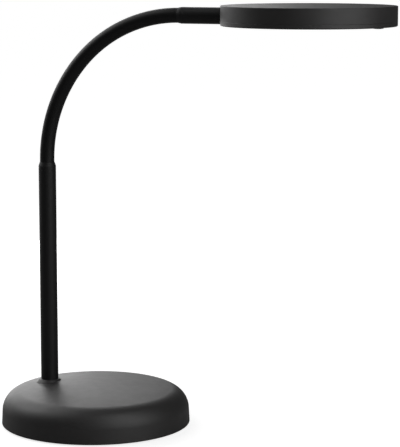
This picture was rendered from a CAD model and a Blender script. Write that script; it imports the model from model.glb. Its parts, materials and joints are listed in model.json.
"""Looks of a gooseneck desk lamp.

The lamp has a round weighted base, a straight pole, a bendable neck and a flat round light head.
Its sizes are in millimetres and turn into metres where a mesh is made. The studio's sizes are in
metres. +Z is up, +X runs from the pole towards the head, and the table is at z = 0.
"""

import json
import logging
import math
from collections.abc import Sequence
from dataclasses import dataclass, field
from enum import Enum

import bmesh
import bpy
from mathutils import Matrix, Vector


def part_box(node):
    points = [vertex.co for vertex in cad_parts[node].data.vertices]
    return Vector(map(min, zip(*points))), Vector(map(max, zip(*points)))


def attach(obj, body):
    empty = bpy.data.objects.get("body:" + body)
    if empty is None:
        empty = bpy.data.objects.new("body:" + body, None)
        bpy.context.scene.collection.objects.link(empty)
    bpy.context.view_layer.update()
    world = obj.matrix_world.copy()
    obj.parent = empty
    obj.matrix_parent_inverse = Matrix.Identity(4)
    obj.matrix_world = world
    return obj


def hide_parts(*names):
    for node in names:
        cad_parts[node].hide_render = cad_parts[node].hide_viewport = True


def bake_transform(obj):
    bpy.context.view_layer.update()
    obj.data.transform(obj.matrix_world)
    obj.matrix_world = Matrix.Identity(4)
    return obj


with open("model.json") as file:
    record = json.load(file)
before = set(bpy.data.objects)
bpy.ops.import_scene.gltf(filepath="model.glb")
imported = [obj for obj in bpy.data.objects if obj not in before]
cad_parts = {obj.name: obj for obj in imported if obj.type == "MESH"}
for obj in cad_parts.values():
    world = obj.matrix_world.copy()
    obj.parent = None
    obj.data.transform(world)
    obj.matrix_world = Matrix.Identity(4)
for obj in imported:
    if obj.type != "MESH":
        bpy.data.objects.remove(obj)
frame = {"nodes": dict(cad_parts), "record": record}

log = logging.getLogger("lamp")
MM = 0.001

Corner = tuple[float, ...]
Colour = tuple[int, int, int]
Piece = bpy.types.Object
Socket = bpy.types.NodeSocket
Inputs = dict[str | int, object]
Share = tuple[float, float]
Skin = tuple[Socket, Socket]

# Sizes that several parts of the lamp share.
POLE_X = -43.2
POLE_TOP = 221.4
DOME_TOP = 34.3
DOME_RADIUS = 400
TUBE_BORE = 6.19
ROOM = 0.07

# How meshes are made.
LEAST_STEPS = 4
STEP_TURN = 9
EASE_SHARE, MOST_EASE = 0.2, 0.3
SHARP_TURN = 32
CUTTER_SIDES = 64
SMALL_SIDES = 96
TUBE_SIDES = 128
WIDE_SIDES = 320
# How far a cutter reaches outside the face that it enters, and inside it.
OUTSIDE, INSIDE = 2, 8


class Slot(Enum):
    """The record's material slots."""

    CASING = "casing"
    PAD = "rubber_pad"
    PAINT = "black_paint"
    SLEEVE = "neck_sleeve"
    SPRING = "spring_steel"
    ZINC = "zinc_steel"
    CASTING = "cast_metal"
    BALLAST = "ballast_iron"
    INLET = "inlet_plastic"
    CONTACT = "contact_brass"
    SHEATH = "lead_sheath"
    HEAT_PLATE = "heat_aluminium"
    LIGHT_BOARD = "white_board"
    CHIPS = "light_chips"
    WHITE_PLASTIC = "white_plastic"
    DIFFUSER = "opal_diffuser"
    CONTROL_BOARD = "green_board"
    COMPONENT = "component_black"
    BUTTON = "button_plastic"


class Body(Enum):
    """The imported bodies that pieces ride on, apart from the neck's links."""

    STAND = "stand"
    HEAD = "light_head"
    BUTTON = "button"


# ---- Meshes ----


def rounded(corners: Sequence[Corner], closed: bool) -> list[Corner]:
    """Rounds the corners of an outline.

    A short straight step on either side of each rounding keeps the shading of the flats even.

    Args:
        corners: Radius and height of each corner, and its rounding if it has one.
        closed: Whether the last corner joins the first.

    Returns:
        The outline's points, in order.
    """
    points: list[Corner] = []
    last = len(corners) - 1
    for index, (radius, height, *roundings) in enumerate(corners):
        here = Vector((radius, height))
        if not roundings or (not closed and index in (0, last)):
            points.append((radius, height))
            continue
        rounding = roundings[0]
        back = (Vector(corners[index - 1][:2]) - here).normalized()
        ahead = (Vector(corners[(index + 1) % len(corners)][:2]) - here).normalized()
        half = back.angle(ahead) / 2
        reach = rounding / math.tan(half)
        centre = here + (back + ahead).normalized() * (rounding / math.sin(half))
        first = here + back * reach - centre
        final = here + ahead * reach - centre
        start = math.atan2(first.y, first.x)
        turn = (math.atan2(final.y, final.x) - start + math.pi) % math.tau - math.pi
        steps = max(LEAST_STEPS, math.ceil(math.degrees(abs(turn)) / STEP_TURN))
        ease = min(MOST_EASE, EASE_SHARE * rounding)
        points.append(tuple(here + back * (reach + ease)))
        for step in range(steps + 1):
            angle = start + turn * step / steps
            points.append(tuple(centre + rounding * Vector((math.cos(angle), math.sin(angle)))))
        points.append(tuple(here + ahead * (reach + ease)))
    return points


def shade(piece: Piece) -> None:
    """Shades a piece smooth, apart from the edges that turn sharply."""
    piece.data.polygons.foreach_set("use_smooth", [True] * len(piece.data.polygons))
    piece.data.set_sharp_from_angle(angle=math.radians(SHARP_TURN))


def smooth_piece(name: str, shape: bmesh.types.BMesh) -> Piece:
    """Turns a shape into a piece that is shaded smooth between its sharp edges.

    Args:
        name: The piece's name.
        shape: The shape, which is freed.

    Returns:
        The new piece, linked to the scene.
    """
    bmesh.ops.recalc_face_normals(shape, faces=shape.faces)
    mesh = bpy.data.meshes.new(name)
    shape.to_mesh(mesh)
    shape.free()
    piece = bpy.data.objects.new(name, mesh)
    bpy.context.scene.collection.objects.link(piece)
    shade(piece)
    return piece


def upright(x: float, y: float = 0, z: float = 0) -> Matrix:
    """Gives the place of an upright round piece whose axis stands at (x, y)."""
    return Matrix.Translation(Vector((x, y, z)) * MM)


def along_x(x: float, y: float, z: float) -> Matrix:
    """Gives the place of a round piece that lies along +X from (x, y, z)."""
    return upright(x, y, z) @ Matrix.Rotation(math.pi / 2, 4, "Y")


def turns(count: int) -> list[float]:
    """Divides a full turn into equal steps."""
    return [math.tau * step / count for step in range(count)]


def bridge(shape: bmesh.types.BMesh, low: Sequence, high: Sequence) -> None:
    """Fills the band between two rings of vertices, either of which may be a single one.

    Args:
        shape: The shape that they belong to.
        low: The first ring.
        high: The second ring.
    """
    sides = max(len(low), len(high))
    for side in range(sides):
        after = (side + 1) % sides
        near = (low[side % len(low)], low[after % len(low)])
        far = (high[after % len(high)], high[side % len(high)])
        shape.faces.new(list(dict.fromkeys(near + far)))


def revolve(name: str, corners: Sequence[Corner], place: Matrix, sides: int = 256) -> Piece:
    """Turns an outline round its axis, or a ring's section where both of its ends are clear of it.

    Args:
        name: The piece's name.
        corners: Radius and height of each corner, and its rounding if it has one.
        place: Where the axis stands.
        sides: Number of faces round the piece.

    Returns:
        The turned piece.
    """
    closed = corners[0][0] > 0 and corners[-1][0] > 0
    shape = bmesh.new()
    rings = [
        [
            shape.verts.new((radius * math.cos(a) * MM, radius * math.sin(a) * MM, height * MM))
            for a in turns(sides if radius else 1)
        ]
        for radius, height in rounded(corners, closed)
    ]
    for low, high in zip(rings, rings[1:]):
        bridge(shape, low, high)
    if closed:
        bridge(shape, rings[-1], rings[0])
    shape.transform(place)
    return smooth_piece(name, shape)


def add_block(piece: Piece, low: Vector, high: Vector, edge: float) -> None:
    """Adds a moulded block with rounded edges to a piece, as a loose part of its mesh.

    Args:
        piece: The piece, whose mesh changes.
        low: The block's lowest corner.
        high: Its highest corner.
        edge: Rounding of its edges.
    """
    shape = bmesh.new()
    bmesh.ops.create_cube(shape, size=1)
    for vertex in shape.verts:
        vertex.co = ((low + high) / 2 + vertex.co * (high - low)) * MM
    edges = {"geom": list(shape.edges), "affect": "EDGES", "clamp_overlap": True}
    bmesh.ops.bevel(shape, offset=edge * MM, segments=4, profile=0.5, **edges)
    bmesh.ops.recalc_face_normals(shape, faces=shape.faces)
    shape.from_mesh(piece.data)
    shape.to_mesh(piece.data)
    shape.free()
    shade(piece)


def sweep(name: str, stations: Sequence[Matrix], outer: float, inner: float, sides: int) -> Piece:
    """Carries a round section along a line of stations.

    Args:
        name: The piece's name.
        stations: The places that the section passes, with +Z along the line.
        outer: The section's radius.
        inner: Radius of its bore, or 0 for none.
        sides: Number of faces round the section.

    Returns:
        The swept piece, closed at both ends.
    """
    shape = bmesh.new()
    walls = []
    for radius in (outer, inner) if inner else (outer,):
        rows = [
            [
                shape.verts.new(station @ (Vector((math.cos(a), math.sin(a), 0)) * radius * MM))
                for a in turns(sides)
            ]
            for station in stations
        ]
        walls.append(rows)
        for low, high in zip(rows, rows[1:]):
            bridge(shape, low, high)
    for end in (0, -1):
        if inner:
            bridge(shape, walls[0][end], walls[1][end])
        else:
            shape.faces.new(walls[0][end])
    return smooth_piece(name, shape)


def cut(piece: Piece, *cutters: Piece) -> None:
    """Cuts shapes out of a piece and clears them away.

    Args:
        piece: The piece, whose mesh changes.
        cutters: The shapes to cut out.
    """
    for cutter in cutters:
        modifier = piece.modifiers.new("cut", "BOOLEAN")
        modifier.operation = "DIFFERENCE"
        modifier.solver = "EXACT"
        modifier.object = cutter
    bpy.context.view_layer.update()
    shown = piece.evaluated_get(bpy.context.evaluated_depsgraph_get())
    shaped = bpy.data.meshes.new_from_object(shown)
    piece.modifiers.clear()
    rough, piece.data = piece.data, shaped
    bpy.data.meshes.remove(rough)
    for cutter in cutters:
        bpy.data.objects.remove(cutter)
    shade(piece)


def drill(radius: float, low: float, high: float, place: Matrix) -> Piece:
    """Makes a plain round cutter.

    Args:
        radius: Its radius.
        low: Height of its lower end, along its axis.
        high: Height of its upper end.
        place: Where its axis stands.

    Returns:
        The cutter.
    """
    outline = [(0, low), (radius, low), (radius, high), (0, high)]
    return revolve("cutter", outline, place, CUTTER_SIDES)


# ---- Finishes ----


def linear(colour: Colour) -> tuple[float, float, float, float]:
    """Turns a colour of 0 to 255 a channel into the linear values that a shader takes."""
    parts = [value / 255 for value in colour]
    plain = [p / 12.92 if p <= 0.04045 else ((p + 0.055) / 1.055) ** 2.4 for p in parts]
    return (*plain, 1.0)


class Nodes:
    """The node tree of a material or of the surroundings."""

    def __init__(self, owner: bpy.types.Material | bpy.types.World) -> None:
        """Empties the tree.

        Args:
            owner: The material or the surroundings.
        """
        owner.use_nodes = True
        self.tree = owner.node_tree
        self.tree.nodes.clear()

    def add(self, kind: str, inputs: Inputs | None = None, **settings: object) -> bpy.types.Node:
        """Adds a node.

        Args:
            kind: The node's type, without the prefix that all types share.
            inputs: What goes into it, by name or number of the input: a socket or a fixed value.
            settings: Its properties by name.

        Returns:
            The node.
        """
        node = self.tree.nodes.new("ShaderNode" + kind)
        for key, value in settings.items():
            setattr(node, key, value)
        for key, value in (inputs or {}).items():
            if isinstance(value, Socket):
                self.tree.links.new(value, node.inputs[key])
            else:
                node.inputs[key].default_value = value
        return node

    def seen(self, gloss_level: float) -> Socket:
        """Gives the level at which white surroundings show to each kind of ray.

        Args:
            gloss_level: Their level in a gloss.

        Returns:
            1 for a direct look or one through glass, the gloss level in a gloss, 0 for light.
        """
        path = self.add("LightPath").outputs
        inputs = {0: path["Is Glossy Ray"], 1: gloss_level}
        level = self.add("Math", inputs, operation="MULTIPLY").outputs["Value"]
        for name in ("Is Camera Ray", "Is Transmission Ray"):
            either = self.add("Math", {0: level, 1: path[name]}, operation="MAXIMUM")
            level = either.outputs["Value"]
        return level


class Shader(Nodes):
    """The node tree of a finish, with the patterns that it is made of."""

    def __init__(self, name: str) -> None:
        """Starts a material.

        Args:
            name: The material's name.
        """
        self.material = bpy.data.materials.new(name)
        super().__init__(self.material)
        self.place = self.add("TexCoord").outputs["Object"]

    def pattern(self, kind: str, size: float, stretch: Sequence[float]) -> bpy.types.Node:
        """Adds a pattern node with features of a given size.

        Args:
            kind: The node's type.
            size: Size of a feature.
            stretch: How much longer a feature is along each axis.

        Returns:
            The node.
        """
        scale = [1 / (size * MM * part) for part in stretch]
        place = self.add("Mapping", {"Vector": self.place, "Scale": scale}).outputs["Vector"]
        return self.add(kind, {"Scale": 1, "Vector": place})

    def noise(
        self,
        size: float,
        detail: float = 2,
        rough: float = 0.5,
        stretch: Sequence[float] = (1, 1, 1),
    ) -> Socket:
        """Adds cloudy noise.

        Args:
            size: Size of its features.
            detail: Number of finer layers.
            rough: Strength of those layers.
            stretch: How much longer a feature is along each axis.

        Returns:
            The noise, from 0 to 1.
        """
        node = self.pattern("TexNoise", size, stretch)
        node.inputs["Detail"].default_value = detail
        node.inputs["Roughness"].default_value = rough
        return node.outputs["Fac"]

    def cells(self, size: float) -> Socket:
        """Adds a pattern of cells, as the distance to each cell's middle."""
        return self.pattern("TexVoronoi", size, (1, 1, 1)).outputs["Distance"]

    def spread(
        self, pattern: Socket, low: float = 0, high: float = 1, start: float = 0.3, end: float = 0.7
    ) -> Socket:
        """Maps a pattern to a range of values.

        Args:
            pattern: The pattern.
            low: Value at its start.
            high: Value at its end.
            start: Pattern level that gives the low value.
            end: Pattern level that gives the high value.

        Returns:
            The value.
        """
        inputs = {"Value": pattern, "From Min": start, "From Max": end}
        inputs |= {"To Min": low, "To Max": high}
        return self.add("MapRange", inputs, clamp=True).outputs["Result"]

    def tint(self, pattern: Socket, dark: Colour, light: Colour) -> Socket:
        """Mixes two colours by a pattern.

        Args:
            pattern: The pattern, from 0 to 1.
            dark: Colour at 0.
            light: Colour at 1.

        Returns:
            The colour.
        """
        inputs = {"Factor": pattern, "A": linear(dark), "B": linear(light)}
        return self.add("Mix", inputs, data_type="RGBA").outputs["Result"]

    def relief(
        self, height: Socket, depth: float, strength: float = 1, over: Socket | None = None
    ) -> Socket:
        """Raises a fine relief on the surface.

        Args:
            height: The relief, from 0 to 1.
            depth: Its depth.
            strength: How much of it shows.
            over: A coarser relief that it lies on.

        Returns:
            The normal.
        """
        inputs = {"Height": height, "Distance": depth * MM, "Strength": strength}
        if over is not None:
            inputs["Normal"] = over
        return self.add("Bump", inputs).outputs["Normal"]


@dataclass(frozen=True)
class Finish:
    """A finish: its name, its colour, how rough it is and how much the two vary.

    Its pattern makes the colour darker or lighter, by the two shares in shift. Patches, of the
    size and detail in patch, make it smoother or rougher, by the two steps in wear.
    """

    name: str
    colour: Colour
    roughness: float
    shift: Share = (0.05, 0.05)
    wear: Share = (0.05, 0.05)
    patch: Share = (5, 3)
    specular: float = 0.5
    metallic: float = 0
    milky: float = 0
    milk_depth: float = 2
    milk_reach: tuple[float, float, float] = (1.0, 0.95, 0.85)

    def make(self) -> bpy.types.Material:
        """Builds the finish's material."""
        shader = Shader(self.name)
        pattern, normal = self.surface(shader)
        dark, light = self.shifted(-self.shift[0]), self.shifted(self.shift[1])
        low, high = self.roughness - self.wear[0], self.roughness + self.wear[1]
        inputs = {
            "Base Color": shader.tint(pattern, dark, light),
            "Roughness": shader.spread(shader.noise(*self.patch), low, high),
            "Normal": normal,
            "Specular IOR Level": self.specular,
            "Metallic": self.metallic,
            "Subsurface Weight": self.milky,
            "Subsurface Scale": self.milk_depth * MM,
            "Subsurface Radius": self.milk_reach,
        }
        skin = shader.add("BsdfPrincipled", inputs)
        shader.add("OutputMaterial", {"Surface": skin.outputs["BSDF"]})
        return shader.material

    def surface(self, shader: Shader) -> Skin:
        """Adds the finish's own patterns.

        Args:
            shader: The shader to add them to.

        Returns:
            The pattern of its colour, from 0 to 1, and its normal.
        """
        raise NotImplementedError

    def shifted(self, amount: float) -> Colour:
        """Gives the finish's colour, lighter by a share, or darker by one below 0."""
        return tuple(min(255, max(0, round(part * (1 + amount)))) for part in self.colour)


@dataclass(frozen=True)
class MouldedPlastic(Finish):
    """Moulded plastic with a fine spark-eroded grain and faint flow clouds."""

    patch: Share = (7, 4)
    cloud: float = 26
    grain: float = 0.32
    depth: float = 0.012

    def surface(self, shader: Shader) -> Skin:
        """Adds the clouds and the grain."""
        clouds = shader.spread(shader.noise(self.cloud, detail=3))
        return clouds, shader.relief(shader.noise(self.grain, detail=3, rough=0.6), self.depth)


@dataclass(frozen=True)
class PowderPaint(Finish):
    """Satin powder paint with fine specks and the faint ripple of a cured coat."""

    shift: Share = (0.08, 0.08)
    wear: Share = (0.03, 0.03)
    speck: float = 0.18
    speck_depth: float = 0.003
    ripple: float = 1.3
    depth: float = 0.01

    def surface(self, shader: Shader) -> Skin:
        """Adds the specks and the ripple under them."""
        specks = shader.noise(self.speck)
        ripple = shader.relief(shader.noise(self.ripple, detail=1), self.depth)
        return shader.spread(specks), shader.relief(specks, self.speck_depth, 0.6, ripple)


@dataclass(frozen=True)
class ExtrudedRubber(Finish):
    """Smooth extruded rubber with a dry skin, a faint bloom and dull patches."""

    shift: Share = (0.06, 0.1)
    wear: Share = (0.04, 0.05)
    patch: Share = (3.5, 4)
    bloom: float = 14
    grain: float = 0.22
    depth: float = 0.008

    def surface(self, shader: Shader) -> Skin:
        """Adds the bloom and a fine grain."""
        bloom = shader.spread(shader.noise(self.bloom, detail=4))
        return bloom, shader.relief(shader.noise(self.grain, detail=3, rough=0.6), self.depth)


@dataclass(frozen=True)
class FoamRubber(Finish):
    """Closed-cell foam rubber."""

    shift: Share = (0.25, 0.12)
    wear: Share = (0.06, 0.06)
    patch: Share = (9, 3)
    specular: float = 0.25
    cell: float = 0.7
    pit: float = 0.08
    skin: float = 0.3
    skin_depth: float = 0.02

    def surface(self, shader: Shader) -> Skin:
        """Adds the cells, their darker pits and the dull skin over them."""
        cells = shader.cells(self.cell)
        pits = shader.relief(cells, self.pit, 0.7)
        skin = shader.relief(shader.noise(self.skin, detail=3), self.skin_depth, 0.6, pits)
        return shader.spread(cells, low=1, high=0, start=0.1), skin


@dataclass(frozen=True)
class Metal(Finish):
    """Bare, plated or wound metal, with a grain and mottled plating."""

    shift: Share = (0.08, 0.08)
    wear: Share = (0.06, 0.08)
    patch: Share = (1.1, 4)
    metallic: float = 1
    mottle: float = 2.4
    grain: float = 0.4
    depth: float = 0.006
    stretch: tuple[float, float, float] = (1, 1, 1)

    def surface(self, shader: Shader) -> Skin:
        """Adds the mottle and the grain."""
        mottle = shader.spread(shader.noise(self.mottle, detail=5, rough=0.6))
        grain = shader.noise(self.grain, detail=4, rough=0.65, stretch=self.stretch)
        return mottle, shader.relief(grain, self.depth)


@dataclass(frozen=True)
class CastSurface(Finish):
    """A casting with a sand-blasted skin under a thin coat."""

    shift: Share = (0.14, 0.12)
    wear: Share = (0.08, 0.08)
    patch: Share = (4, 4)
    pit: float = 0.8
    depth: float = 0.05

    def surface(self, shader: Shader) -> Skin:
        """Adds the pitted skin."""
        skin = shader.noise(self.pit, detail=5, rough=0.6)
        return shader.spread(skin), shader.relief(skin, self.depth, 0.8)


@dataclass(frozen=True)
class OpalSheet(Finish):
    """Opal plastic sheet that spreads light, with a fine frosted face."""

    shift: Share = (0.012, 0.012)
    wear: Share = (0.04, 0.04)
    patch: Share = (6, 3)
    milky: float = 0.35
    cloud: float = 30
    frost: float = 0.5
    frost_depth: float = 0.015

    def surface(self, shader: Shader) -> Skin:
        """Adds the milky clouds and the frosted face."""
        frost = shader.relief(shader.cells(self.frost), self.frost_depth, 0.6)
        return shader.spread(shader.noise(self.cloud)), frost


@dataclass(frozen=True)
class CircuitBoard(Finish):
    """Circuit board lacquer over a glass weave."""

    shift: Share = (0.1, 0.08)
    weave: float = 0.45
    depth: float = 0.01
    thread: float = 6

    def surface(self, shader: Shader) -> Skin:
        """Adds the threads of the weave, which run both ways."""
        across = shader.noise(self.weave, detail=1, stretch=(self.thread, 1, 1))
        along = shader.noise(self.weave, detail=1, stretch=(1, self.thread, 1))
        threads = shader.relief(across, self.depth, 0.6)
        return shader.spread(across), shader.relief(along, self.depth, 0.6, threads)


EVEN_WEAR: Share = (0.02, 0.02)
FINISHES: dict[Slot, Finish] = {
    Slot.CASING: MouldedPlastic("casing_plastic", (36, 35, 35), 0.5, wear=EVEN_WEAR, specular=0.7),
    Slot.PAD: FoamRubber("foot_foam", (30, 30, 31), 0.85),
    Slot.PAINT: PowderPaint("satin_black_paint", (14, 14, 15), 0.5, specular=0.4),
    Slot.SLEEVE: ExtrudedRubber("sleeve_rubber", (14, 14, 15), 0.45, specular=0.3),
    Slot.SPRING: Metal("spring_steel", (122, 122, 126), 0.34),
    Slot.ZINC: Metal("zinc_plated_steel", (176, 178, 182), 0.3, shift=(0.12, 0.12)),
    Slot.CASTING: CastSurface("coated_casting", (26, 26, 27), 0.5, pit=0.6, depth=0.03),
    Slot.BALLAST: CastSurface("ballast_iron", (92, 90, 88), 0.55, metallic=1, depth=0.08),
    Slot.INLET: MouldedPlastic("inlet_plastic", (22, 22, 23), 0.34, grain=0.2, depth=0.006),
    Slot.CONTACT: Metal("nickel_brass", (196, 178, 132), 0.22, depth=0.003),
    Slot.SHEATH: ExtrudedRubber("lead_sheath", (26, 26, 27), 0.5, grain=0.3),
    Slot.HEAT_PLATE: Metal("heat_plate_aluminium", (196, 198, 200), 0.36, stretch=(14, 1, 1)),
    Slot.LIGHT_BOARD: CircuitBoard("white_light_board", (226, 226, 220), 0.38),
    Slot.CHIPS: MouldedPlastic("phosphor_chips", (228, 196, 92), 0.3, grain=0.12, depth=0.004),
    Slot.WHITE_PLASTIC: MouldedPlastic("white_plastic", (228, 228, 224), 0.45),
    Slot.DIFFUSER: OpalSheet("opal_diffuser", (232, 231, 226), 0.5),
    Slot.CONTROL_BOARD: CircuitBoard("green_control_board", (22, 84, 46), 0.36),
    Slot.COMPONENT: MouldedPlastic("component_epoxy", (34, 34, 36), 0.5, grain=0.15, depth=0.01),
    Slot.BUTTON: MouldedPlastic("button_plastic", (40, 40, 41), 0.4, grain=0.25, specular=0.32),
}


class Wardrobe:
    """Makes each finish once and puts it on pieces and on the frame's own nodes."""

    def __init__(self) -> None:
        """Makes every finish's material."""
        self.materials = {slot: finish.make() for slot, finish in FINISHES.items()}

    def dress(self, piece: Piece, slot: Slot) -> None:
        """Gives a piece the finish of a slot.

        Args:
            piece: The piece.
            slot: The slot that it takes its finish from.
        """
        piece.data.materials.clear()
        piece.data.materials.append(self.materials[slot])

    def dress_nodes(self) -> None:
        """Gives every node of the frame the finish that the record names for it."""
        parts = frame["record"]["subparts"]
        for part in parts:
            node = frame["nodes"][part["node"]]
            if not node.material_slots:
                node.data.materials.append(None)
            for place in node.material_slots:
                place.material = self.materials[Slot(part["material_slot"])]
        log.info("%d nodes of the frame dressed", len(parts))


# ---- The lamp ----


@dataclass
class SubAssembly:
    """A group of pieces that a maker would build together."""

    wardrobe: Wardrobe
    made: list[Piece] = field(default_factory=list)

    def place(self, piece: Piece, slot: Slot, body: Body, node: str) -> None:
        """Dresses a piece, lets it ride on its body and stand for its node.

        Args:
            piece: The piece.
            slot: The slot that it takes its finish from.
            body: The body that carries it.
            node: The frame's node that it stands for.
        """
        self.wardrobe.dress(piece, slot)
        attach(piece, body.value)
        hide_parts(node)
        self.made.append(piece)

    def report(self) -> None:
        """Logs each piece with its number of faces."""
        for piece in self.made:
            log.info("%s: %s, %d faces", type(self).__name__, piece.name, len(piece.data.polygons))


@dataclass
class Base(SubAssembly):
    """The weighted base: casing, bottom cover, foot pad and power inlet."""

    radius: float = 80
    lift: float = 0.8
    draft: float = 3
    rounding: float = 17.4
    round_x: float = 61.9974
    round_z: float = 11.8435
    dome_steps: int = 28
    round_steps: int = 36
    wall: float = 2.6
    stud_hole: float = 4.07
    cover_radius: float = 76.96
    cover_top: float = 3.4
    screw_ring: float = 66
    screw_hole: float = 1.7
    screw_seat: float = 2.87
    seat_top: float = 2.4
    pad_radius: float = 73.76
    pad_top: float = 1.4
    pad_hole: float = 3.8
    inlet_face: float = -79.283
    inlet_z: float = 8.75
    inlet_radius: float = 3.8
    socket_radius: float = 3.15
    socket_depth: float = 9.5
    socket_floor: float = 1.2
    block_start: float = 0.4

    def build(self) -> None:
        """Builds the base's pieces."""
        self.place(self.casing(), Slot.CASING, Body.STAND, "base_shell")
        self.place(self.cover(), Slot.CASING, Body.STAND, "base_cover")
        self.place(self.pad(), Slot.PAD, Body.STAND, "foot_pad")
        self.place(self.inlet(), Slot.INLET, Body.STAND, "dc_jack")

    def face(self, inset: float) -> list[Corner]:
        """Draws half the casing's section: the shallow dome and the rounding down to the side.

        Args:
            inset: Depth under the outer face.

        Returns:
            The points, from the middle of the top to the rounding's lower end.
        """
        crown, shoulder = DOME_RADIUS - inset, self.rounding - inset
        lean = math.asin(self.round_x / (DOME_RADIUS - self.rounding))
        leans = [lean * step / self.dome_steps for step in range(self.dome_steps)]
        middle = DOME_TOP - DOME_RADIUS
        dome = [(crown * math.sin(turn), middle + crown * math.cos(turn)) for turn in leans]
        high, low = math.pi / 2 - lean, math.radians(self.draft)
        shares = (step / self.round_steps for step in range(self.round_steps + 1))
        bend = [
            (self.round_x + shoulder * math.cos(turn), self.round_z + shoulder * math.sin(turn))
            for turn in (high + (low - high) * share for share in shares)
        ]
        return dome + bend

    def casing(self) -> Piece:
        """Turns the casing's shell and cuts the holes for the pole's stud and the inlet."""
        outer, inner = self.face(0), self.face(self.wall)
        foot = self.radius - self.wall / math.cos(math.radians(self.draft))
        rim = [(self.radius, self.lift, 0.5), (foot, self.lift, 0.3)]
        piece = revolve("base_casing", [*outer, *rim, *reversed(inner)], upright(0), WIDE_SIDES)
        side = along_x(-self.radius, 0, self.inlet_z)
        cut(
            piece,
            drill(self.stud_hole, DOME_TOP - INSIDE, DOME_TOP + OUTSIDE, upright(POLE_X)),
            drill(self.inlet_radius + ROOM, -OUTSIDE, INSIDE, side),
        )
        return piece

    def screw_places(self) -> list[Matrix]:
        """Gives the places of the four cover screws."""
        ring = self.screw_ring
        bearings = (math.radians(45 + 90 * step) for step in range(4))
        return [upright(ring * math.cos(turn), ring * math.sin(turn)) for turn in bearings]

    def cover(self) -> Piece:
        """Turns the bottom cover and cuts its stepped screw holes."""
        radius, low, high = self.cover_radius, self.pad_top, self.cover_top
        outline = [(0, low), (radius, low, 0.4), (radius, high, 0.2), (0, high)]
        piece = revolve("bottom_cover", outline, upright(0))
        for place in self.screw_places():
            hole = drill(self.screw_hole, 0, high + OUTSIDE, place)
            cut(piece, hole, drill(self.screw_seat, 0, self.seat_top, place))
        return piece

    def pad(self) -> Piece:
        """Turns the foot pad and punches its four screw openings."""
        radius, top = self.pad_radius, self.pad_top
        outline = [(0, 0), (radius, 0, 0.45), (radius, top, 0.1), (0, top)]
        piece = revolve("foot_pad_foam", outline, upright(0))
        places = self.screw_places()
        cut(piece, *(drill(self.pad_hole, -OUTSIDE, top + OUTSIDE, place) for place in places))
        return piece

    def inlet(self) -> Piece:
        """Moulds the power inlet: a round socket with an eased mouth on a block."""
        depth, end = self.socket_depth, self.socket_depth + self.socket_floor
        socket = [(0, depth), (self.socket_radius, depth, 0.3), (self.socket_radius, 0, 0.35)]
        barrel = [(self.inlet_radius, 0, 0.3), (self.inlet_radius, end, 0.2), (0, end)]
        place = along_x(self.inlet_face, 0, self.inlet_z)
        piece = revolve("power_inlet", socket + barrel, place, SMALL_SIDES)
        low, high = (Vector(corner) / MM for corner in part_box("dc_jack"))
        low.x = self.inlet_face + depth + self.block_start
        add_block(piece, low, high, edge=0.4)
        return piece


@dataclass
class Pole(SubAssembly):
    """The straight pole: the collar at its foot, the tube and the ring at its upper end."""

    foot: float = 31.9604
    radius: float = 7.37
    stud_bore: float = 4.07
    collar: float = 10.5
    collar_height: float = 2.4
    shoulder: float = 8.6
    shoulder_height: float = 2.2
    seat: float = 1.2
    room: float = 0.02
    fitting_rounds: int = 12
    socket_radius: float = 6.82
    socket_depth: float = 6
    spigot_radius: float = 6.8
    spigot_length: float = 5.8
    ring_height: float = 6.6
    ring_chamfer_height: float = 3.1
    ring_chamfer: float = 1.02

    def build(self) -> None:
        """Builds the pole's pieces."""
        self.place(self.foot_collar(), Slot.CASING, Body.STAND, "pole_collar")
        self.place(self.tube(), Slot.PAINT, Body.STAND, "pole_tube")
        self.place(self.end_ring(), Slot.PAINT, Body.STAND, "pole_end_ring")

    def foot_collar(self) -> Piece:
        """Turns the collar, a low cone that the tube is let into, and fits its foot to the dome."""
        seat = self.radius + self.room
        corners = [
            (self.stud_bore, 0),
            (self.collar, 0),
            (self.shoulder, self.shoulder_height, 0.4),
            (seat, self.collar_height),
            (seat, self.seat),
            (self.stud_bore, self.seat),
        ]
        place = upright(POLE_X, 0, self.foot)
        piece = revolve("pole_foot_collar", corners, place, sides=160)
        slope = (self.collar - self.shoulder) / self.shoulder_height
        for vertex in piece.data.vertices:
            x, y, z = vertex.co / MM
            if z > self.foot + self.seat / 2:
                continue
            turn, start = math.atan2(y, x - POLE_X), math.hypot(x - POLE_X, y)
            lean, reach = slope if start > seat else 0, start
            for _ in range(self.fitting_rounds):
                x, y = POLE_X + reach * math.cos(turn), reach * math.sin(turn)
                drop = DOME_RADIUS - math.sqrt(DOME_RADIUS**2 - x**2 - y**2)
                z = DOME_TOP - drop + self.room
                reach = start - lean * (z - self.foot)
            vertex.co = Vector((x, y, z)) * MM
        return piece

    def tube(self) -> Piece:
        """Draws the pole's tube, with its ends eased and a wider mouth for the ring's spigot."""
        low, high = self.foot + self.seat, POLE_TOP - self.ring_height
        corners = [
            (TUBE_BORE, low, 0.1),
            (self.radius, low, 0.1),
            (self.radius, high, 0.12),
            (self.socket_radius, high, 0.05),
            (self.socket_radius, high - self.socket_depth),
            (TUBE_BORE, high - self.socket_depth),
        ]
        return revolve("pole_steel_tube", corners, upright(POLE_X), TUBE_SIDES)

    def end_ring(self) -> Piece:
        """Turns the ring that ends the pole, with its chamfer and spigot."""
        low = POLE_TOP - self.ring_height
        corners = [
            (TUBE_BORE, low - self.spigot_length, 0.05),
            (self.spigot_radius, low - self.spigot_length, 0.05),
            (self.spigot_radius, low),
            (self.radius, low, 0.12),
            (self.radius, POLE_TOP - self.ring_chamfer_height, 0.3),
            (self.radius - self.ring_chamfer, POLE_TOP, 0.12),
            (TUBE_BORE, POLE_TOP, 0.03),
        ]
        return revolve("pole_top_ring", corners, upright(POLE_X), TUBE_SIDES)


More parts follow.
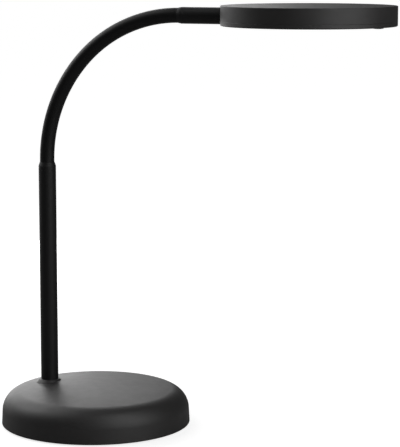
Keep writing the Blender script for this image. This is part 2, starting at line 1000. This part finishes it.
@dataclass
class Neck(SubAssembly):
    """The bendable neck: a smooth sleeve with the lead in it, in stretches that bend at joints."""

    straight: float = 1.7
    lower_radius: float = 125.8
    lower_angle: float = 44
    upper_radius: float = 117.3
    inset: float = 5
    half_links: int = 5
    sleeve_radius: float = 6.12
    sleeve_bore: float = 4.72
    sleeve_held: float = 10
    lead_radius: float = 1.5
    lead_sides: int = 24
    lead_tail: float = 1.6
    row_length: float = 1.1
    least_rows: int = 8
    rigid: float = 0.2

    def __post_init__(self) -> None:
        """Works out the neck's length, where its joints are along it and its links' numbers."""
        self.lower_length = self.lower_radius * math.radians(self.lower_angle)
        self.upper_length = self.upper_radius * math.radians(90 - self.lower_angle)
        self.bend_end = self.straight + self.lower_length
        self.length = self.bend_end + self.upper_length
        start, middle, end = self.inset, self.bend_end, self.length - self.inset
        count = self.half_links
        lower = [start + (middle - start) * step / count for step in range(count + 1)]
        upper = [middle + (end - middle) * step / count for step in range(1, count + 1)]
        self.joints = lower + upper
        self.numbers = [f"{number:02d}" for number in range(1, len(self.joints))]

    def station(self, along: float) -> Matrix:
        """Gives the place of a section of the neck.

        Args:
            along: Distance along the neck from the pole's end, below 0 inside the pole.

        Returns:
            The section's place, with +Z along the neck.
        """
        lower = min(max(along - self.straight, 0), self.lower_length) / self.lower_radius
        upper = min(max(along - self.bend_end, 0), self.upper_length) / self.upper_radius
        turn = lower + upper
        x = POLE_X + self.lower_radius * (1 - math.cos(lower))
        z = POLE_TOP + self.lower_radius * math.sin(lower)
        x += self.upper_radius * (math.cos(lower) - math.cos(turn))
        z += self.upper_radius * (math.sin(turn) - math.sin(lower))
        z += min(along, self.straight)
        x += max(along - self.length, 0)
        return upright(x, 0, z) @ Matrix.Rotation(turn, 4, "Y")

    def stretch(self, name: str, index: int, tail: float, *section: float) -> Piece:
        """Makes the stretch round one joint, which bends between the two bodies there.

        It runs half-way to the joints before and after it.

        Args:
            name: What the stretch is of.
            index: The joint's number, from 0.
            tail: How far the first and last stretch reach into the rigid ends.
            section: Outer radius, bore and number of faces round the stretch.

        Returns:
            The stretch.
        """
        middles = [(low + high) / 2 for low, high in zip(self.joints, self.joints[1:])]
        start, end = [-tail, *middles, self.length + tail][index : index + 2]
        rows = max(self.least_rows, math.ceil((end - start) / self.row_length))
        stations = [self.station(start + (end - start) * row / rows) for row in range(rows + 1)]
        piece = sweep(f"{name}_{index + 1:02d}", stations, *section)
        here = self.joints[index]
        room = min(here, self.length - here, (self.joints[1] - self.joints[0]) / 2) - self.rigid
        ends = [self.station(here + side * room).translation for side in (-1, 1)]
        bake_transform(piece)
        return piece

    def build(self) -> None:
        """Builds the sleeve and the lead."""
        nodes = [f"neck_sleeve_{name}" for name in ("root", *self.numbers, "head")]
        sleeve = (self.sleeve_held, self.sleeve_radius, self.sleeve_bore, SMALL_SIDES)
        lead = (self.lead_tail, self.lead_radius, 0, self.lead_sides)
        for index in range(len(self.joints)):
            for name, slot, sizes, replaced in (
                ("sleeve_stretch", Slot.SLEEVE, sleeve, nodes[index : index + 2]),
                ("lead_stretch", Slot.SHEATH, lead, ["neck_lead"]),
            ):
                piece = self.stretch(name, index, *sizes)
                self.wardrobe.dress(piece, slot)
                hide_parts(*replaced)
                self.made.append(piece)


@dataclass
class Head(SubAssembly):
    """The light head: its tube, cover, bezel, diffuser and button."""

    tube_start: float = 76.4856
    tube_z: float = 346.3046
    tube_radius: float = 6.79
    ring_mouth: float = 0.12
    ring_length: float = 5.4
    ring_chamfer: float = 2.6
    tube_length: float = 33.3
    x: float = 187.0856
    bottom: float = 339.3046
    top: float = 355.3046
    radius: float = 70.3
    wall: float = 2
    skirt: float = 3.5
    lip_height: float = 5.4
    lip: float = 1.4
    window: float = 47.5
    bezel_thickness: float = 2
    ledge: float = 0.9
    ledge_width: float = 2.57
    bracket_hole: float = 3.27
    bracket_room: float = 3.5
    diffuser_radius: float = 49.93
    diffuser_thickness: float = 2
    screw_ring: float = 63.3
    screw_angles: tuple[float, ...] = (40, 140, 220, 320)
    screw_hole: float = 1.4
    screw_seat: float = 2.27
    seat_depth: float = 1.3
    button_x: float = 243.6856
    button_radius: float = 4.5
    button_proud: float = 1.7
    button_gap: float = 0.01
    button_dome: float = 0.35
    button_edge: float = 0.45
    button_steps: int = 10
    flange_width: float = 1
    flange_thickness: float = 0.9

    def build(self) -> None:
        """Builds the head's pieces."""
        self.place(self.end_ring(), Slot.PAINT, Body.HEAD, "head_end_ring")
        self.place(self.tube(), Slot.PAINT, Body.HEAD, "head_tube")
        self.place(self.cover(), Slot.CASING, Body.HEAD, "head_cover")
        self.place(self.bezel(), Slot.CASING, Body.HEAD, "head_bezel")
        self.place(self.diffuser(), Slot.DIFFUSER, Body.HEAD, "diffuser")
        self.place(self.button(), Slot.BUTTON, Body.BUTTON, "button_cap")

    def end_ring(self) -> Piece:
        """Turns the chamfered ring at the tube's outer end."""
        corners = [
            (TUBE_BORE, 0, 0.02),
            (TUBE_BORE + self.ring_mouth, 0, 0.02),
            (self.tube_radius, self.ring_chamfer, 0.3),
            (self.tube_radius, self.ring_length, 0.1),
            (TUBE_BORE, self.ring_length, 0.05),
        ]
        place = along_x(self.tube_start, 0, self.tube_z)
        return revolve("tube_end_ring", corners, place, TUBE_SIDES)

    def tube(self) -> Piece:
        """Draws the head's tube, with its ends eased."""
        corners = [
            (TUBE_BORE, 0, 0.05),
            (self.tube_radius, 0, 0.1),
            (self.tube_radius, self.tube_length, 0.15),
            (TUBE_BORE, self.tube_length, 0.05),
        ]
        place = along_x(self.tube_start + self.ring_length, 0, self.tube_z)
        return revolve("head_steel_tube", corners, place, TUBE_SIDES)

    def side_drill(self, radius: float) -> Piece:
        """Makes the cutter for an opening where the bracket enters the head's side."""
        return drill(radius, -OUTSIDE, INSIDE, along_x(self.x - self.radius, 0, self.tube_z))

    def cover(self) -> Piece:
        """Turns the head's cover and cuts the opening for the bracket's neck."""
        low, ceiling = self.bottom + self.skirt, self.top - self.wall
        inner = self.radius - self.wall
        outside = [(0, self.top), (self.radius, self.top, 0.5), (self.radius, low, 0.2)]
        inside = [(inner, low, 0.1), (inner, ceiling, 0.6), (0, ceiling)]
        piece = revolve("light_cover", outside + inside, upright(self.x), WIDE_SIDES)
        cut(piece, self.side_drill(self.bracket_hole))
        return piece

    def bezel(self) -> Piece:
        """Turns the flat bezel and cuts the bracket's room, screw seats and the button's hole."""
        low, inner = self.bottom, self.radius - self.wall
        shelf = self.window + self.ledge_width
        corners = [
            (self.window, low, 0.3),
            (self.radius, low, 0.9),
            (self.radius, low + self.skirt, 0.2),
            (inner, low + self.skirt),
            (inner - ROOM, low + self.lip_height, 0.2),
            (inner - self.lip, low + self.lip_height, 0.2),
            (inner - self.lip, low + self.bezel_thickness, 0.2),
            (shelf, low + self.bezel_thickness, 0.1),
            (shelf, low + self.ledge),
            (self.window, low + self.ledge, 0.15),
        ]
        piece = revolve("light_bezel", corners, upright(self.x), WIDE_SIDES)
        cut(piece, self.side_drill(self.bracket_room))
        ring, high = self.screw_ring, self.bezel_thickness + 1
        for turn in map(math.radians, self.screw_angles):
            place = upright(self.x + ring * math.cos(turn), ring * math.sin(turn), low)
            hole = drill(self.screw_hole, -1, high, place)
            cut(piece, hole, drill(self.screw_seat, -1, self.seat_depth, place))
        place = upright(self.button_x, 0, low)
        cut(piece, drill(self.button_radius + ROOM, -1, high, place))
        return piece

    def diffuser(self) -> Piece:
        """Turns the round diffuser that rests on the bezel's ledge."""
        radius, low = self.diffuser_radius, self.bottom + self.ledge
        high = low + self.diffuser_thickness
        outline = [(0, low), (radius, low, 0.3), (radius, high, 0.1), (0, high)]
        return revolve("light_diffuser", outline, upright(self.x))

    def button(self) -> Piece:
        """Turns the round button, with a domed face and the flange that keeps it in."""
        low, dome = self.bottom - self.button_proud, self.button_dome
        reach = self.button_radius - self.button_edge
        shares = [step / self.button_steps for step in range(self.button_steps - 1)]
        face = [(reach * share, low + dome * share**2) for share in shares]
        flange = self.bottom + self.bezel_thickness + self.button_gap
        rim, top = self.button_radius + self.flange_width, flange + self.flange_thickness
        corners = [
            (reach - 0.2, low + dome * 0.96),
            (self.button_radius, low + dome * 1.24, self.button_edge),
            (self.button_radius, flange, 0.1),
            (rim, flange, 0.15),
            (rim, top, 0.1),
            (0, top),
        ]
        return revolve("dimmer_button", face + corners, upright(self.button_x), SMALL_SIDES)


# ---- The studio ----


@dataclass(frozen=True)
class Softbox:
    """A soft light round the lamp: its bearing, height, distance, size and level."""

    name: str
    bearing: float
    height: float
    distance: float
    width: float
    depth: float
    level: float

    def make(self) -> None:
        """Stands the light in its place and turns it to the lamp."""
        data = bpy.data.lights.new(self.name, "AREA")
        data.shape = "RECTANGLE"
        data.size, data.size_y = self.width, self.depth
        data.energy = self.level * math.pi * self.width * self.depth
        light = bpy.data.objects.new(self.name, data)
        bearing = math.radians(self.bearing)
        light.location = (
            LIT_POINT.x + self.distance * math.sin(bearing),
            LIT_POINT.y - self.distance * math.cos(bearing),
            self.height,
        )
        facing = LIT_POINT - light.location
        light.rotation_mode = "QUATERNION"
        light.rotation_quaternion = facing.to_track_quat("-Z", "Y")
        light.visible_camera = False
        bpy.context.scene.collection.objects.link(light)


# The point that all lights face.
LIT_POINT = Vector((0.06, 0.0, 0.17))
LIGHTS = (
    Softbox("back_low", -159.3, 0.22, 1.0, 0.26, 0.44, 0.447),
    Softbox("back_left_low", -136.8, 0.22, 1.0, 0.52, 0.44, 2.6),
    Softbox("left_low", -106.8, 0.22, 1.0, 0.52, 0.44, 0.653),
    Softbox("back_high", -151.8, 0.72, 1.0, 0.52, 0.5, 2.75),
    Softbox("back_left_high", -121.8, 0.72, 1.0, 0.52, 0.5, 1.7),
    Softbox("left_high", -91.8, 0.72, 1.0, 0.52, 0.5, 3.18),
    Softbox("overhead_right", 65.7, 1.2, 0.8, 0.6, 0.6, 2.65),
    Softbox("overhead_back_left", -114.3, 1.2, 0.8, 0.6, 0.6, 1.15),
    Softbox("overhead_left", -69.3, 1.2, 0.8, 0.6, 0.6, 1.33),
    Softbox("front", 20.7, 0.5, 1.2, 0.62, 1.0, 0.113),
    Softbox("front_right", 65.7, 0.5, 1.2, 1.24, 1.0, 1.32),
)


@dataclass
class Studio:
    """The camera, the soft lights, the pale floor and the white surroundings."""

    bearing: float = 20.672
    pitch: float = 8.484
    camera_at: tuple[float, float, float] = (0.623973, -1.402118, 0.399618)
    lens: float = 148.239
    sensor: float = 36
    clip: tuple[float, float] = (0.05, 100)
    gloss_level: float = 0.065
    floor_drop: float = 0.0003
    floor_rings: tuple[float, ...] = (0, 0.2, 0.8, 16)
    floor_tone: float = 0.5
    floor_gloss_tone: float = 0.2
    shadow_radius: float = 0.6
    shadow_depth: float = 0.2

    def build(self) -> None:
        """Sets up the whole studio."""
        self.camera()
        self.surroundings()
        self.floor()
        for light in LIGHTS:
            light.make()
        bpy.context.scene.view_settings.view_transform = "Standard"

    def camera(self) -> None:
        """Places the camera."""
        data = bpy.data.cameras.new("camera")
        data.lens, data.sensor_width = self.lens, self.sensor
        data.clip_start, data.clip_end = self.clip
        camera = bpy.data.objects.new("camera", data)
        turn, dip = math.radians(self.bearing), math.radians(self.pitch)
        flat = math.cos(dip)
        ahead = Vector((-math.sin(turn) * flat, math.cos(turn) * flat, -math.sin(dip)))
        camera.location = self.camera_at
        camera.rotation_mode = "QUATERNION"
        camera.rotation_quaternion = ahead.to_track_quat("-Z", "Y")
        bpy.context.scene.collection.objects.link(camera)
        bpy.context.scene.camera = camera

    def surroundings(self) -> None:
        """Makes the surroundings white to look at and dark as light."""
        world = bpy.data.worlds.new("surroundings")
        bpy.context.scene.world = world
        nodes = Nodes(world)
        inputs = {"Color": (1, 1, 1, 1), "Strength": nodes.seen(self.gloss_level)}
        white = nodes.add("Background", inputs)
        nodes.add("OutputWorld", {"Surface": white.outputs["Background"]})

    def floor(self) -> None:
        """Lays the floor: white to look at, with the lamp's soft shadow, and open from below."""
        outline = [(reach / MM, 0) for reach in self.floor_rings]
        floor = revolve("floor", outline, upright(0, 0, -self.floor_drop / MM), sides=64)
        for face in floor.data.polygons:
            if face.normal.z < 0:
                face.flip()
        material = bpy.data.materials.new("floor")
        nodes = Nodes(material)
        reach = {0: nodes.add("TexCoord").outputs["Object"]}
        shadow = {
            "Value": nodes.add("VectorMath", reach, operation="LENGTH").outputs["Value"],
            "From Min": self.shadow_radius / 2,
            "From Max": self.shadow_radius,
            "To Min": 1 - self.shadow_depth,
            "To Max": 1,
        }
        fade = nodes.add("MapRange", shadow, interpolation_type="SMOOTHSTEP").outputs["Result"]
        inputs = {0: fade, 1: nodes.seen(self.gloss_level)}
        level = nodes.add("Math", inputs, operation="MULTIPLY").outputs["Value"]
        white = nodes.add("Emission", {"Strength": level}).outputs["Emission"]
        tones = {
            "Factor": nodes.add("LightPath").outputs["Is Glossy Ray"],
            "A": (self.floor_tone,) * 3 + (1,),
            "B": (self.floor_gloss_tone,) * 3 + (1,),
        }
        tone = nodes.add("Mix", tones, data_type="RGBA").outputs["Result"]
        lit = nodes.add("BsdfDiffuse", {"Color": tone}).outputs["BSDF"]
        faces = {
            "Fac": nodes.add("NewGeometry").outputs["Backfacing"],
            1: nodes.add("AddShader", {0: lit, 1: white}).outputs["Shader"],
            2: nodes.add("BsdfTransparent").outputs["BSDF"],
        }
        both = nodes.add("MixShader", faces).outputs["Shader"]
        nodes.add("OutputMaterial", {"Surface": both})
        floor.data.materials.append(material)


def main() -> None:
    """Builds the lamp and its studio."""
    logging.basicConfig(level=logging.INFO, format="%(name)s: %(message)s")
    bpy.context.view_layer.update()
    wardrobe = Wardrobe()
    wardrobe.dress_nodes()
    for assembly in (Base(wardrobe), Pole(wardrobe), Neck(wardrobe), Head(wardrobe)):
        assembly.build()
        assembly.report()
    Studio().build()


if __name__ == "__main__":
    main()
